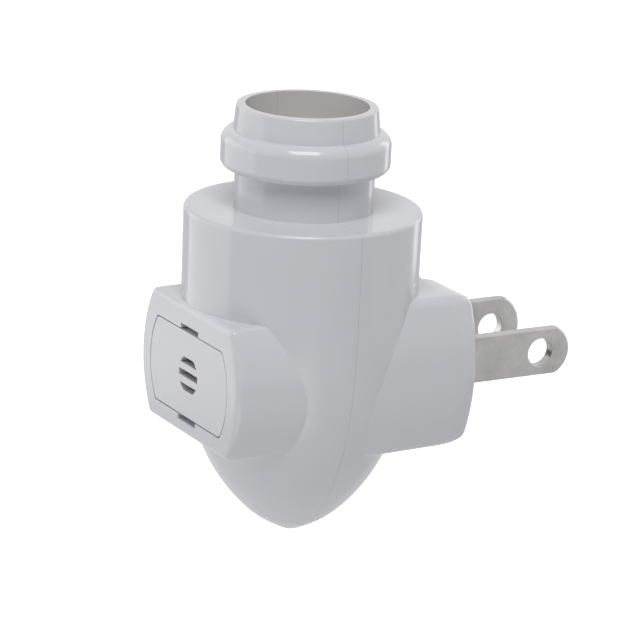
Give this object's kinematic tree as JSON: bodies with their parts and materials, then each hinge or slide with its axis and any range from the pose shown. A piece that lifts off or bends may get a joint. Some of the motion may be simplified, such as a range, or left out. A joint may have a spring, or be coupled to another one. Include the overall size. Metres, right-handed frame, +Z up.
{
  "type": "plug-in lamp holder",
  "caption": "Plug-in night lamp holder: bullet-shaped housing with a collared screw socket on top, a slotted sensor box in front and a polarised blade plug behind.",
  "frame": {"origin": "on the lamp's axis, level with the shoulder that the neck stands on", "axes": "+Z up the lamp's axis, +Y towards the wall outlet along the blades, -Y towards the sensor cover"},
  "size_m": [0.031, 0.0543, 0.0577],
  "materials": {
    "housing": "glossy moulded",
    "cover": "glossy moulded",
    "blade": "satin nickel plate",
    "socket_metal": "bright rolled",
    "base_fibre": "pressed fibre",
    "board": "phenolic board",
    "photocell": "coated ceramic",
    "black_epoxy": "moulded",
    "resistor_coat": "lacquered",
    "white_insulation": "extruded",
    "black_insulation": "extruded"
  },
  "bodies": {
    "root": {"front_shell": "housing", "rear_shell": "housing", "sensor_cover": "cover", "screw_shell": "socket_metal", "contact_base": "base_fibre", "centre_contact": "socket_metal", "contact_rivet": "socket_metal", "line_blade": "blade", "neutral_blade": "blade", "circuit_board": "board", "light_sensor": "photocell", "thyristor": "black_epoxy", "rectifier_diode_1": "black_epoxy", "rectifier_diode_2": "black_epoxy", "rectifier_diode_3": "black_epoxy", "rectifier_diode_4": "black_epoxy", "gate_resistor": "resistor_coat", "line_wire": "black_insulation", "neutral_wire": "white_insulation", "lamp_wire": "black_insulation"}
  },
  "joints": []
}
